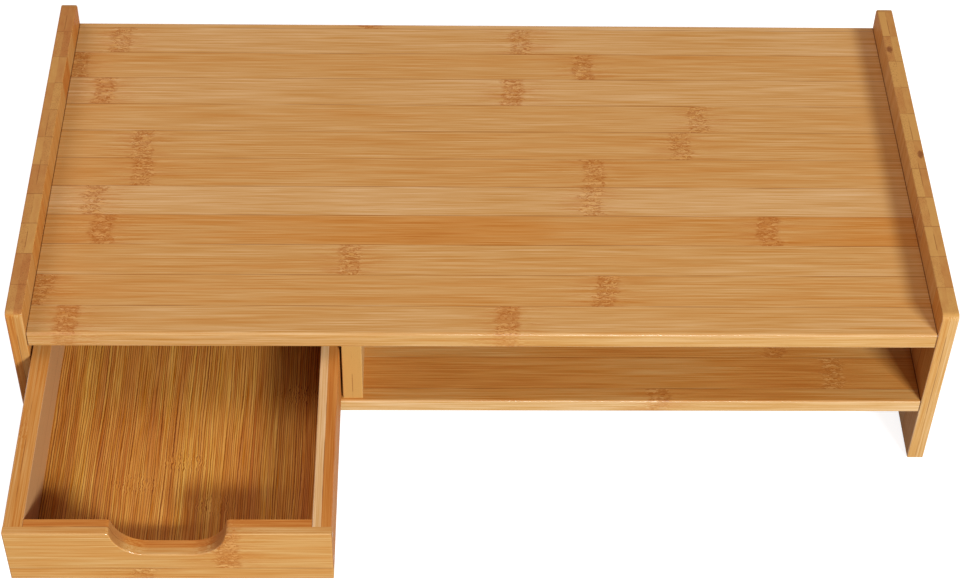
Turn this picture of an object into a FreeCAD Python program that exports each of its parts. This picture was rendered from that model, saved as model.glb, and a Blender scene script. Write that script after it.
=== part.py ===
import FreeCAD, Part

import math
import os
import re

import Sketcher

# A bamboo desk riser for a monitor. Two side panels carry a top shelf and a lower shelf. A divider splits
# the space between the shelves into an open bay on the right and a drawer bay on the left, where a
# wooden drawer slides on the lower shelf. The drawer is drawn out part of the way, as it stands at rest.
#
# Millimetres. X runs to the right, Y to the back, Z up. The origin is under the middle of the whole
# riser with its drawer drawn out, on the desk.

# Driving dimensions: name, value and meaning.
SIZES = (
    ("overall_width", 600.0, "over both side panels"),
    ("carcass_depth", 304.0, "front to back, without the drawn drawer"),
    ("panel_height", 141.0, "a side panel from its foot to its top"),
    ("side_thickness", 11.0, "a side panel"),
    ("lip_height", 18.0, "a side panel above the top shelf"),
    ("corner_radius", 4.0, "the top corners of a side panel"),
    ("top_thickness", 12.5, "the top shelf"),
    ("top_edge_radius", 2.0, "the long edges of the top shelf"),
    ("lower_shelf_top", 58.0, "the lower shelf's upper face above the foot of the panels"),
    ("lower_thickness", 10.5, "the lower shelf"),
    ("lower_edge_radius", 1.5, "the long edges of the lower shelf"),
    ("arris_radius", 0.8, "the eased edges of the boards"),
    ("bay_width", 198.0, "the drawer bay, between the left panel and the divider"),
    ("divider_thickness", 13.0, "the divider"),
    ("divider_setback", 2.5, "the divider behind the front, and short of the back"),
    ("stop_thickness", 12.0, "the stop rail, front to back"),
    ("stop_height", 18.0, "the stop rail"),
    ("drawer_open", 142.0, "how far the drawer's face stands in front of the riser"),
    ("drawer_setback", 2.5, "the closed drawer's face behind the front"),
    ("drawer_gap_side", 1.2, "running clearance on each side of the drawer"),
    ("drawer_gap_below", 0.3, "running clearance under the drawer"),
    ("drawer_gap_above", 7.2, "between the drawer's rim and the top shelf"),
    ("stop_gap", 0.3, "between the closed drawer and the stop rail"),
    ("drawer_wall", 12.0, "a side wall of the drawer"),
    ("front_thickness", 11.0, "the drawer front"),
    ("front_lap", 5.5, "the outer part of the front, which covers the ends of the walls"),
    ("back_thickness", 11.0, "the drawer back"),
    ("floor_thickness", 5.0, "the drawer floor"),
    ("floor_lift", 3.0, "the drawer floor above the lower edge of the walls"),
    ("groove_depth", 5.0, "the floor's groove in a side wall"),
    ("front_groove", 4.0, "the floor's groove in the front"),
    ("floor_play", 0.3, "between the floor's edges and the bottoms of the grooves"),
    ("notch_opening", 74.0, "the finger notch at the drawer's rim"),
    ("notch_depth", 20.7, "the finger notch below the rim"),
    ("notch_radius", 21.0, "the hollow curves at the notch's ends"),
    ("notch_rim_radius", 3.0, "the rounded corners where the notch meets the rim"),
    ("pad_diameter", 9.0, "an anti-slip pad"),
    ("pad_thickness", 1.2, "an anti-slip pad"),
    ("pad_inset", 25.0, "a pad's centre from the front or back of its panel"),
    ("screw_diameter", 4.0, "shank of the long screws"),
    ("screw_head", 7.6, "head of the long screws"),
    ("screw_length", 35.0, "the long screws"),
    ("screw_inset", 40.0, "the first side screw from the front"),
    ("rail_screw_length", 25.0, "the stop rail's screws"),
    ("rail_screw_inset", 35.0, "a rail screw from the end of the stop rail"),
    ("divider_screw_inset", 60.0, "a divider screw from the front or back of the riser"),
    ("divider_dowel_inset", 85.0, "a divider dowel from the front or back of the riser"),
    ("dowel_diameter", 6.0, "the glued dowels"),
    ("dowel_length", 25.0, "the glued dowels"),
    ("dowel_bevel", 0.6, "the bevel at a dowel's ends"),
    ("dowel_seat", 7.0, "the short end of a dowel, in a panel or under the top shelf"),
    ("floor_screw_diameter", 2.8, "shank of the small screws under the drawer"),
    ("floor_screw_head", 5.4, "head of the small screws"),
    ("floor_screw_length", 16.0, "the small screws"),
    ("floor_screw_inset", 30.0, "the outer small screws from the sides of the drawer's inside"),
    ("nail_diameter", 1.8, "the drawer's nails"),
    ("nail_head", 3.0, "head of a nail"),
    ("nail_length", 30.0, "the drawer's nails"),
    ("nail_inset", 11.0, "a nail from the lower or the upper edge of a wall"),
    ("recess_reach", 0.55, "a screw's cross recess, as a share of the head it is in"),
    ("recess_width", 0.14, "an arm of the recess, as a share of the head"),
    ("recess_depth", 0.16, "the recess, as a share of the head"),
    ("hole_play", 0.05, "between a fastener and its hole, on the radius"),
    ("tip_play", 0.4, "between a fastener's end and the end of its hole"),
)

# Sizes that follow from the driving ones.
WORKED_OUT = {
    "inner_width": "overall_width - 2 * side_thickness",
    "left_inside": "side_thickness - overall_width / 2",
    "front_plane": "(drawer_open - carcass_depth) / 2",
    "back_plane": "(drawer_open + carcass_depth) / 2",
    "top_shelf_foot": "panel_height - lip_height - top_thickness",
    "lower_shelf_foot": "lower_shelf_top - lower_thickness",
    "bay_height": "top_shelf_foot - lower_shelf_top",
    "divider_length": "carcass_depth - 2 * divider_setback",
    "drawer_height": "bay_height - drawer_gap_below - drawer_gap_above",
    "drawer_width": "bay_width - 2 * drawer_gap_side",
    "drawer_length": "carcass_depth - drawer_setback - stop_thickness - stop_gap",
    "drawer_inside": "drawer_width - 2 * drawer_wall",
    "drawer_left": "left_inside + drawer_gap_side",
    "drawer_front_plane": "front_plane - drawer_open",
    "drawer_foot": "pad_thickness + lower_shelf_top + drawer_gap_below",
    "floor_top": "floor_lift + floor_thickness",
    "inner_ply": "front_thickness - front_lap",
    "screw_pitch": "carcass_depth / 2 - screw_inset",
    "dowel_reach": "dowel_length - dowel_seat",
}


def formula(text):
    """Turns a formula in the names above into one on the cells of the sheet."""
    def cell(match):
        name = match.group()
        if name in WORKED_OUT:
            return "(" + formula(WORKED_OUT[name]) + ")"
        return "Sizes." + name
    return re.sub(r"[a-z][a-z_]+", cell, text)


def bind(thing, prop, text):
    """Ties a property of an object to a formula."""
    thing.setExpression(prop, formula(text))


def make_sheet(doc):
    """Writes the driving dimensions into a spreadsheet, one row each."""
    sheet = doc.addObject("Spreadsheet::Sheet", "Sizes")
    for row, (alias, value, meaning) in enumerate(SIZES, start=1):
        sheet.set(f"A{row}", meaning)
        sheet.set(f"B{row}", str(value))
        sheet.setAlias(f"B{row}", alias)
    doc.recompute()
    return sheet


# Sketches. Each is drawn at a rough size first, and its constraints then give it the real one.

ROUGH = 10.0


def rough_points(corners):
    """Turns corners into points of a rough drawing."""
    return [FreeCAD.Vector(x * ROUGH, y * ROUGH, 0) for x, y in corners]


def closed_outline(sketch, points):
    """Draws lines from point to point and back to the first, joined at their ends."""
    first = sketch.GeometryCount
    for start, end in zip(points, points[1:] + points[:1]):
        sketch.addGeometry(Part.LineSegment(start, end), False)
    for side in range(len(points)):
        following = (side + 1) % len(points)
        constrain(sketch, "Coincident", first + side, 2, first + following, 1)
    return first


def sketch_on(body, name, role, lift=None):
    """Starts a sketch on one of the body's own planes, or at a height above it."""
    sketch = body.newObject("Sketcher::SketchObject", name)
    plane = [feature for feature in body.Origin.OriginFeatures if feature.Role == role][0]
    sketch.AttachmentSupport = [(plane, "")]
    sketch.MapMode = "FlatFace"
    if lift:
        bind(sketch, "AttachmentOffset.Base.z", lift)
    return sketch


def drawn_size(sketch, kind, where):
    """Measures the radius or distance that a new constraint is about, as it is drawn so far."""
    if kind == "Radius":
        return sketch.Geometry[where[0]].Radius
    first, second = sketch.getPoint(*where[:2]), sketch.getPoint(*where[2:])
    return second.x - first.x if kind == "DistanceX" else second.y - first.y


def constrain(sketch, kind, *where, value=None):
    """Adds a constraint, and ties its value to a formula where it has one."""
    if value is None:
        return sketch.addConstraint(Sketcher.Constraint(kind, *where))
    start = drawn_size(sketch, kind, where)
    index = sketch.addConstraint(Sketcher.Constraint(kind, *where, start))
    bind(sketch, f"Constraints[{index}]", value)
    return index


def place_point(sketch, geometry, end, across, up):
    """Fixes a point of a sketch at two distances from the sketch's origin, either of which may be None."""
    origin = (-1, 1)
    if across is None:
        constrain(sketch, "PointOnObject", geometry, end, -2)
    else:
        constrain(sketch, "DistanceX", *origin, geometry, end, value=across)
    if up is None:
        constrain(sketch, "PointOnObject", geometry, end, -1)
    else:
        constrain(sketch, "DistanceY", *origin, geometry, end, value=up)


def rectangle(sketch, wide, high, across=None, up=None):
    """Draws a rectangle of a given size, with its lower left corner at a given place."""
    first = closed_outline(sketch, rough_points(((1, 1), (2, 1), (2, 2), (1, 2))))
    for side in (0, 2):
        constrain(sketch, "Horizontal", first + side)
        constrain(sketch, "Vertical", first + side + 1)
    constrain(sketch, "DistanceX", first, 1, first, 2, value=wide)
    constrain(sketch, "DistanceY", first + 1, 1, first + 1, 2, value=high)
    place_point(sketch, first, 1, across, up)


def circles(sketch, spots):
    """Draws circles, each given by its centre's two distances and its radius."""
    for across, up, radius in spots:
        circle = Part.Circle(FreeCAD.Vector(ROUGH, ROUGH, 0), FreeCAD.Vector(0, 0, 1), 1)
        index = sketch.addGeometry(circle, False)
        constrain(sketch, "Radius", index, value=radius)
        place_point(sketch, index, 3, across, up)


# Features

def new_body(doc, label, across, along, up):
    """Starts a board with its lowest left front corner at a given place."""
    body = doc.addObject("PartDesign::Body", label)
    body.Label = label
    bind(body, "Placement.Base.x", across)
    bind(body, "Placement.Base.y", along)
    bind(body, "Placement.Base.z", up)
    return body


def pad(body, sketch, length, reverse=False):
    """Pads a sketch to a board."""
    feature = body.newObject("PartDesign::Pad", "Pad")
    feature.Profile = sketch
    feature.Reversed = reverse
    bind(feature, "Length", length)
    body.Document.recompute()
    return feature


def pocket(body, sketch, depth=None, reverse=False):
    """Cuts a sketch into the board, to a depth or right through it, and makes sure that it cut."""
    before = body.Shape.Volume
    feature = body.newObject("PartDesign::Pocket", "Pocket")
    feature.Profile = sketch
    feature.Reversed = reverse
    if depth is None:
        feature.Type = "ThroughAll"
    else:
        bind(feature, "Length", depth)
    body.Document.recompute()
    if body.Shape.Volume >= before:
        raise RuntimeError(f"{body.Label}: {feature.Name} cuts nothing")
    return feature


def edge_names(base, wanted):
    """Names the edges of a feature that a test on each edge and the feature's box picks out."""
    box = base.Shape.BoundBox
    names = [f"Edge{i}" for i, edge in enumerate(base.Shape.Edges, start=1) if wanted(edge, box)]
    if not names:
        raise RuntimeError(f"{base.Name}: no edge of that kind")
    return names


def round_edges(body, radius, wanted):
    """Rounds the edges of the board that a test picks out."""
    base = body.Tip
    feature = body.newObject("PartDesign::Fillet", "Fillet")
    feature.Base = (base, edge_names(base, wanted))
    bind(feature, "Radius", radius)
    body.Document.recompute()
    return feature


def countersink(body, size, wanted):
    """Opens the mouths of screw holes at 45 degrees."""
    base = body.Tip
    feature = body.newObject("PartDesign::Chamfer", "Chamfer")
    feature.Base = (base, edge_names(base, wanted))
    bind(feature, "Size", size)
    body.Document.recompute()
    return feature


def runs_along(edge, axis):
    """True for a straight edge along an axis of the board."""
    box = edge.BoundBox
    spans = {"X": box.XLength, "Y": box.YLength, "Z": box.ZLength}
    return spans[axis] > 1e-3 and sum(spans.values()) - spans[axis] < 1e-6


def at(value, *levels):
    """True where a coordinate is at one of some levels."""
    return any(abs(value - level) < 1e-3 for level in levels)


def is_mouth(edge):
    """True for the mouth of a round hole."""
    return isinstance(edge.Curve, Part.Circle) and len(edge.Vertexes) == 1


# Where the fasteners stand along the depth of the riser, from its front

SCREW_PLACES = [f"screw_inset + {k} * screw_pitch" for k in range(3)]
DOWEL_PLACES = [f"screw_inset + {k + 0.5} * screw_pitch" for k in range(2)]
DIVIDER_SCREW_PLACES = ["divider_screw_inset", "carcass_depth - divider_screw_inset"]
DIVIDER_DOWEL_PLACES = ["divider_dowel_inset", "carcass_depth - divider_dowel_inset"]
RAIL_PLACES = ["rail_screw_inset", "bay_width - rail_screw_inset"]
FLOOR_PLACES = ["floor_screw_inset", "drawer_inside / 2", "drawer_inside - floor_screw_inset"]
NAIL_HEIGHTS = ["nail_inset", "drawer_height - nail_inset"]

SHELF_MIDDLES = ["top_shelf_foot + top_thickness / 2", "lower_shelf_foot + lower_thickness / 2"]

SCREW_HOLE = "screw_diameter / 2 + hole_play"
SCREW_SINK = "(screw_head - screw_diameter) / 2"
DOWEL_HOLE = "dowel_diameter / 2 + hole_play"
NAIL_HOLE = "nail_diameter / 2 + hole_play"
NAIL_SINK = "(nail_head - nail_diameter) / 2"
FLOOR_SCREW_HOLE = "floor_screw_diameter / 2 + hole_play"
FLOOR_SCREW_SINK = "(floor_screw_head - floor_screw_diameter) / 2"


# The boards of the riser

def side_panel(doc, label, turned):
    """A side panel. The right one is the left one turned half round, because its two ends are alike."""
    if turned:
        body = new_body(doc, label, "overall_width / 2", "back_plane", "pad_thickness")
        body.Placement.Rotation = FreeCAD.Rotation(FreeCAD.Vector(0, 0, 1), 180)
    else:
        body = new_body(doc, label, "0 - overall_width / 2", "front_plane", "pad_thickness")
    outline = sketch_on(body, "Outline", "YZ_Plane")
    rectangle(outline, "carcass_depth", "panel_height")
    pad(body, outline, "side_thickness")
    round_edges(body, "corner_radius", lambda e, box: runs_along(e, "X") and at(e.BoundBox.ZMin, box.ZMax))
    round_edges(body, "arris_radius", lambda e, box: not runs_along(e, "X"))

    bores = sketch_on(body, "ScrewHoles", "YZ_Plane")
    circles(bores, [(y, z, SCREW_HOLE) for y in SCREW_PLACES for z in SHELF_MIDDLES])
    pocket(body, bores, "side_thickness", reverse=True)
    countersink(body, SCREW_SINK, lambda e, box: is_mouth(e) and at(e.BoundBox.XMax, box.XMin))

    seats = sketch_on(body, "DowelHoles", "YZ_Plane", lift="side_thickness")
    circles(seats, [(y, z, DOWEL_HOLE) for y in DOWEL_PLACES for z in SHELF_MIDDLES])
    pocket(body, seats, "dowel_seat + tip_play")
    return body


def shelf_ends(body, thickness):
    """Bores both ends of a shelf for the side screws and the dowels."""
    half = f"{thickness} / 2"
    ends = ((None, True), ("inner_width", False))
    for lift, reverse in ends:
        holes = sketch_on(body, "EndScrewHoles", "YZ_Plane", lift=lift)
        circles(holes, [(y, half, SCREW_HOLE) for y in SCREW_PLACES])
        pocket(body, holes, "screw_length - side_thickness + tip_play", reverse=reverse)
        holes = sketch_on(body, "EndDowelHoles", "YZ_Plane", lift=lift)
        circles(holes, [(y, half, DOWEL_HOLE) for y in DOWEL_PLACES])
        pocket(body, holes, "dowel_reach + tip_play", reverse=reverse)


def top_shelf(doc):
    """The shelf that the monitor stands on, between the side panels."""
    body = new_body(doc, "top_shelf", "left_inside", "front_plane", "pad_thickness + top_shelf_foot")
    section = sketch_on(body, "Section", "YZ_Plane")
    rectangle(section, "carcass_depth", "top_thickness")
    pad(body, section, "inner_width")
    round_edges(body, "top_edge_radius", lambda e, box: runs_along(e, "X"))
    shelf_ends(body, "top_thickness")
    seats = sketch_on(body, "DividerDowelHoles", "XY_Plane")
    circles(seats, [("bay_width + divider_thickness / 2", y, DOWEL_HOLE) for y in DIVIDER_DOWEL_PLACES])
    pocket(body, seats, "dowel_seat + tip_play", reverse=True)
    return body


def lower_shelf(doc):
    """The shelf that the drawer slides on, with the divider and the stop rail screwed on from below."""
    body = new_body(doc, "lower_shelf", "left_inside", "front_plane", "pad_thickness + lower_shelf_foot")
    section = sketch_on(body, "Section", "YZ_Plane")
    rectangle(section, "carcass_depth", "lower_thickness")
    pad(body, section, "inner_width")
    round_edges(body, "lower_edge_radius", lambda e, box: runs_along(e, "X"))
    shelf_ends(body, "lower_thickness")
    holes = sketch_on(body, "UprightScrewHoles", "XY_Plane")
    spots = [("bay_width + divider_thickness / 2", y, SCREW_HOLE) for y in DIVIDER_SCREW_PLACES]
    spots += [(x, "carcass_depth - stop_thickness / 2", SCREW_HOLE) for x in RAIL_PLACES]
    circles(holes, spots)
    pocket(body, holes, "lower_thickness", reverse=True)
    countersink(body, SCREW_SINK, lambda e, box: is_mouth(e) and at(e.BoundBox.ZMax, box.ZMin))
    return body


def divider(doc):
    """The upright between the drawer bay and the open bay."""
    body = new_body(doc, "divider", "left_inside + bay_width", "front_plane + divider_setback",
                    "pad_thickness + lower_shelf_top")
    outline = sketch_on(body, "Outline", "YZ_Plane")
    rectangle(outline, "divider_length", "bay_height")
    pad(body, outline, "divider_thickness")
    round_edges(body, "arris_radius", lambda e, box: runs_along(e, "Z"))
    middle = "divider_thickness / 2"
    holes = sketch_on(body, "ScrewHoles", "XY_Plane")
    circles(holes, [(middle, f"{y} - divider_setback", SCREW_HOLE) for y in DIVIDER_SCREW_PLACES])
    pocket(body, holes, "screw_length - lower_thickness + tip_play", reverse=True)
    seats = sketch_on(body, "DowelHoles", "XY_Plane", lift="bay_height")
    circles(seats, [(middle, f"{y} - divider_setback", DOWEL_HOLE) for y in DIVIDER_DOWEL_PLACES])
    pocket(body, seats, "dowel_reach + tip_play")
    return body


def stop_rail(doc):
    """The rail at the back of the drawer bay, which the closed drawer meets."""
    body = new_body(doc, "drawer_stop_rail", "left_inside", "back_plane - stop_thickness",
                    "pad_thickness + lower_shelf_top")
    section = sketch_on(body, "Section", "YZ_Plane")
    rectangle(section, "stop_thickness", "stop_height")
    pad(body, section, "bay_width")
    round_edges(body, "arris_radius", lambda e, box: runs_along(e, "X") and at(e.BoundBox.ZMin, box.ZMax))
    holes = sketch_on(body, "ScrewHoles", "XY_Plane")
    circles(holes, [(x, "stop_thickness / 2", SCREW_HOLE) for x in RAIL_PLACES])
    pocket(body, holes, "rail_screw_length - lower_thickness + tip_play", reverse=True)
    return body


# The boards of the drawer, placed from the lower left corner of its face

def drawer_body(doc, label, across="0", along="0", up="0"):
    """Starts a board of the drawer at a place inside the drawer."""
    return new_body(doc, label, f"drawer_left + {across}", f"drawer_front_plane + {along}",
                    f"drawer_foot + {up}")


def front_plan(sketch):
    """Draws the front from above: a board whose ends are rebated for the walls."""
    corners = ((0, 0), (9, 0), (9, 1), (8, 1), (8, 2), (1, 2), (1, 1), (0, 1))
    closed_outline(sketch, rough_points(corners))
    for side in range(len(corners)):
        constrain(sketch, "Vertical" if side % 2 else "Horizontal", side)
    constrain(sketch, "Coincident", 0, 1, -1, 1)
    constrain(sketch, "DistanceX", 0, 1, 0, 2, value="drawer_width")
    constrain(sketch, "DistanceY", 1, 1, 1, 2, value="front_lap")
    constrain(sketch, "DistanceX", 2, 2, 2, 1, value="drawer_wall")
    constrain(sketch, "DistanceY", 3, 1, 3, 2, value="inner_ply")
    constrain(sketch, "DistanceX", 6, 2, 6, 1, value="drawer_wall")
    constrain(sketch, "Horizontal", 2, 2, 5, 2)


def notch_outline(sketch, sheet, front):
    """Draws the finger notch: at each end a small round at the rim runs into a large hollow curve.

    The outline stands above the rim, so that the cut is open there. front is the uncut board's box.
    """
    rim, hollow = sheet.notch_rim_radius, sheet.notch_radius
    turn = math.acos(1 - sheet.notch_depth / (rim + hollow))
    run = (rim + hollow) * math.sin(turn)
    middle = front.XLength / 2
    half = sheet.notch_opening / 2
    height = front.ZMax
    above = rim
    floor = height - sheet.notch_depth

    def spot(side, inward, up):
        return FreeCAD.Vector(middle + side * (half - inward), up, 0)

    def arc(centre, radius, start, end):
        circle = Part.Circle(centre, FreeCAD.Vector(0, 0, 1), radius)
        return sketch.addGeometry(Part.ArcOfCircle(circle, start, end), False)

    quarter = math.pi / 2
    left_rim = arc(spot(-1, 0, height - rim), rim, quarter - turn, quarter)
    left_hollow = arc(spot(-1, run, floor + hollow), hollow, 3 * quarter - turn, 3 * quarter)
    bottom = sketch.addGeometry(Part.LineSegment(spot(-1, run, floor), spot(1, run, floor)), False)
    right_hollow = arc(spot(1, run, floor + hollow), hollow, 3 * quarter, 3 * quarter + turn)
    right_rim = arc(spot(1, 0, height - rim), rim, quarter, quarter + turn)
    up_right = sketch.addGeometry(Part.LineSegment(spot(1, 0, height), spot(1, 0, height + above)), False)
    lid = sketch.addGeometry(Part.LineSegment(spot(1, 0, height + above), spot(-1, 0, height + above)), False)
    down_left = sketch.addGeometry(Part.LineSegment(spot(-1, 0, height + above), spot(-1, 0, height)), False)

    # An arc's first end is the one at its smaller angle.
    constrain(sketch, "Tangent", left_rim, 1, left_hollow, 1)
    constrain(sketch, "Tangent", left_hollow, 2, bottom, 1)
    constrain(sketch, "Tangent", bottom, 2, right_hollow, 1)
    constrain(sketch, "Tangent", right_hollow, 2, right_rim, 2)
    constrain(sketch, "Coincident", right_rim, 1, up_right, 1)
    constrain(sketch, "Coincident", up_right, 2, lid, 1)
    constrain(sketch, "Coincident", lid, 2, down_left, 1)
    constrain(sketch, "Coincident", down_left, 2, left_rim, 2)
    constrain(sketch, "Vertical", left_rim, 3, left_rim, 2)
    constrain(sketch, "Vertical", right_rim, 3, right_rim, 1)
    constrain(sketch, "Vertical", up_right)
    constrain(sketch, "Vertical", down_left)
    constrain(sketch, "Horizontal", lid)
    constrain(sketch, "Horizontal", bottom)
    constrain(sketch, "Horizontal", left_rim, 2, right_rim, 1)
    for index in (left_rim, right_rim):
        constrain(sketch, "Radius", index, value="notch_rim_radius")
    for index in (left_hollow, right_hollow):
        constrain(sketch, "Radius", index, value="notch_radius")
    place_point(sketch, left_rim, 2, "(drawer_width - notch_opening) / 2", "drawer_height")
    constrain(sketch, "DistanceX", left_rim, 2, right_rim, 1, value="notch_opening")
    constrain(sketch, "DistanceY", bottom, 1, left_rim, 2, value="notch_depth")
    constrain(sketch, "DistanceY", up_right, 1, up_right, 2, value="notch_rim_radius")


def drawer_front(doc, sheet):
    """The drawer front, lapped over the walls, with the finger notch and the floor's groove."""
    body = drawer_body(doc, "drawer_front")
    plan = sketch_on(body, "Plan", "XY_Plane")
    front_plan(plan)
    board = pad(body, plan, "drawer_height")
    notch = sketch_on(body, "Notch", "XZ_Plane")
    notch_outline(notch, sheet, board.Shape.BoundBox)
    pocket(body, notch, "front_thickness")
    round_edges(body, "arris_radius", lambda e, box: at(e.BoundBox.YMax, box.YMin))
    groove = sketch_on(body, "FloorGroove", "YZ_Plane")
    rectangle(groove, "front_groove", "floor_thickness", "front_thickness - front_groove", "floor_lift")
    pocket(body, groove, reverse=True)
    holes = sketch_on(body, "NailHoles", "YZ_Plane", lift="drawer_wall")
    spots = [("front_thickness - inner_ply / 2", z, NAIL_HOLE) for z in NAIL_HEIGHTS]
    circles(holes, spots)
    pocket(body, holes, "nail_length - drawer_wall + tip_play", reverse=True)
    holes = sketch_on(body, "OtherNailHoles", "YZ_Plane", lift="drawer_width - drawer_wall")
    circles(holes, spots)
    pocket(body, holes, "nail_length - drawer_wall + tip_play")
    return body


def drawer_side(doc, label, on_left):
    """A side wall of the drawer, with the floor's groove on its inner face and nails at both ends."""
    across = "0" if on_left else "drawer_width - drawer_wall"
    body = drawer_body(doc, label, across, "front_lap")
    outline = sketch_on(body, "Outline", "YZ_Plane")
    rectangle(outline, "drawer_length - front_lap", "drawer_height")
    pad(body, outline, "drawer_wall")
    round_edges(body, "arris_radius", lambda e, box: runs_along(e, "Y") and at(e.BoundBox.ZMin, box.ZMax))
    groove = sketch_on(body, "FloorGroove", "XZ_Plane")
    rectangle(groove, "groove_depth", "floor_thickness", "drawer_wall - groove_depth" if on_left else None,
              "floor_lift")
    pocket(body, groove)
    holes = sketch_on(body, "NailHoles", "YZ_Plane")
    places = ("inner_ply / 2", "drawer_length - front_lap - back_thickness / 2")
    circles(holes, [(y, z, NAIL_HOLE) for y in places for z in NAIL_HEIGHTS])
    pocket(body, holes, "drawer_wall", reverse=True)

    def is_outer_mouth(edge, box):
        face = box.XMin if on_left else box.XMax
        return is_mouth(edge) and at(edge.BoundBox.XMin, face)

    countersink(body, NAIL_SINK, is_outer_mouth)
    return body


def drawer_back(doc):
    """The drawer back, between the walls and on the floor."""
    body = drawer_body(doc, "drawer_back", "drawer_wall", "drawer_length - back_thickness", "floor_top")
    outline = sketch_on(body, "Outline", "YZ_Plane")
    rectangle(outline, "back_thickness", "drawer_height - floor_top")
    pad(body, outline, "drawer_inside")
    round_edges(body, "arris_radius", lambda e, box: runs_along(e, "X") and at(e.BoundBox.ZMin, box.ZMax))
    spots = [("back_thickness / 2", f"{z} - floor_top", NAIL_HOLE) for z in NAIL_HEIGHTS]
    for lift, reverse in ((None, True), ("drawer_inside", False)):
        holes = sketch_on(body, "NailHoles", "YZ_Plane", lift=lift)
        circles(holes, spots)
        pocket(body, holes, "nail_length - drawer_wall + tip_play", reverse=reverse)
    holes = sketch_on(body, "FloorScrewHoles", "XY_Plane")
    circles(holes, [(x, "back_thickness / 2", FLOOR_SCREW_HOLE) for x in FLOOR_PLACES])
    pocket(body, holes, "floor_screw_length - floor_thickness + tip_play", reverse=True)
    return body


def drawer_floor(doc):
    """The drawer floor, in grooves on three sides and screwed up into the back."""
    margin = "groove_depth - floor_play"
    body = drawer_body(doc, "drawer_floor", f"drawer_wall - ({margin})",
                       "front_thickness - front_groove + floor_play", "floor_lift")
    outline = sketch_on(body, "Outline", "XY_Plane")
    rectangle(outline, f"drawer_inside + 2 * ({margin})",
              "drawer_length - front_thickness + front_groove - floor_play")
    pad(body, outline, "floor_thickness")
    holes = sketch_on(body, "ScrewHoles", "XY_Plane")
    along = "drawer_length - back_thickness / 2 - front_thickness + front_groove - floor_play"
    circles(holes, [(f"{x} + {margin}", along, FLOOR_SCREW_HOLE) for x in FLOOR_PLACES])
    pocket(body, holes, "floor_thickness", reverse=True)
    countersink(body, FLOOR_SCREW_SINK, lambda e, box: is_mouth(e) and at(e.BoundBox.ZMax, box.ZMin))
    return body


# Fasteners and pads: one of each kind is made, and copies of it stand at their places

def turned_piece(doc, name, corners, values):
    """Makes a turned piece from half its section.

    corners are a rough drawing of it, across and down. values are the formulas that each is tied to.
    """
    body = doc.addObject("PartDesign::Body", name)
    sketch = sketch_on(body, "HalfSection", "XZ_Plane")
    closed_outline(sketch, rough_points([(x, -z) for x, z in corners]))
    for side, (across, down) in enumerate(values):
        if across is None and down is None:
            constrain(sketch, "Coincident", side, 1, -1, 1)
            continue
        if across is None:
            constrain(sketch, "PointOnObject", side, 1, -2)
        else:
            constrain(sketch, "DistanceX", -1, 1, side, 1, value=across)
        if down is None:
            constrain(sketch, "PointOnObject", side, 1, -1)
        else:
            constrain(sketch, "DistanceY", side, 1, -1, 1, value=down)
    turned = body.newObject("PartDesign::Revolution", "Turned")
    turned.Profile = sketch
    turned.ReferenceAxis = (sketch, ["V_Axis"])
    turned.Angle = 360
    doc.recompute()
    return body


def cross_recess(body, head):
    """Cuts the cross for a screwdriver into a screw's head."""
    reach, width = f"{head} * recess_reach", f"{head} * recess_width"
    for wide, high in ((reach, width), (width, reach)):
        sketch = sketch_on(body, "Cross", "XY_Plane")
        closed_outline(sketch, rough_points(((-1, -1), (1, -1), (1, 1), (-1, 1))))
        for side in range(4):
            constrain(sketch, "Vertical" if side % 2 else "Horizontal", side)
        constrain(sketch, "Symmetric", 0, 1, 1, 2, -1, 1)
        constrain(sketch, "DistanceX", 0, 1, 0, 2, value=wide)
        constrain(sketch, "DistanceY", 1, 1, 1, 2, value=high)
        pocket(body, sketch, f"{head} * recess_depth")


def screw(doc, name, shank, head, length):
    """A countersunk wood screw with its head's face at the origin and a point as long as it is thick."""
    slope = f"({head} - {shank}) / 2"
    corners = ((0, 0), (2, 0), (1, 1), (1, 8), (0, 9))
    values = ((None, None), (f"{head} / 2", None), (f"{shank} / 2", slope),
              (f"{shank} / 2", f"{length} - {shank}"), (None, length))
    body = turned_piece(doc, name, corners, values)
    cross_recess(body, head)
    return body


def nail(doc):
    """A lost-head nail for the drawer's corners."""
    corners = ((0, 0), (2, 0), (1, 1), (1, 8), (0, 9))
    half = "nail_diameter / 2"
    values = ((None, None), ("nail_head / 2", None), (half, "(nail_head - nail_diameter) / 2"),
              (half, "nail_length - nail_diameter"), (None, "nail_length"))
    return turned_piece(doc, "Nail", corners, values)


def dowel(doc):
    """A wooden dowel with bevelled ends, its short end at the origin."""
    corners = ((0, 0), (1, 0), (2, 1), (2, 8), (1, 9), (0, 9))
    wide, narrow = "dowel_diameter / 2", "dowel_diameter / 2 - dowel_bevel"
    values = ((None, None), (narrow, None), (wide, "dowel_bevel"), (wide, "dowel_length - dowel_bevel"),
              (narrow, "dowel_length"), (None, "dowel_length"))
    return turned_piece(doc, "Dowel", corners, values)


def foot_pad(doc):
    """A round anti-slip pad, its upper face at the origin."""
    corners = ((0, 0), (2, 0), (2, 1), (0, 1))
    values = ((None, None), ("pad_diameter / 2", None), ("pad_diameter / 2", "pad_thickness"),
              (None, "pad_thickness"))
    return turned_piece(doc, "Pad", corners, values)


# How a piece that was made pointing down is turned: about Y for the sides, about X to point up
POINT_RIGHT = FreeCAD.Rotation(FreeCAD.Vector(0, 1, 0), -90)
POINT_LEFT = FreeCAD.Rotation(FreeCAD.Vector(0, 1, 0), 90)
POINT_UP = FreeCAD.Rotation(FreeCAD.Vector(1, 0, 0), 180)
POINT_DOWN = FreeCAD.Rotation()


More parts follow.
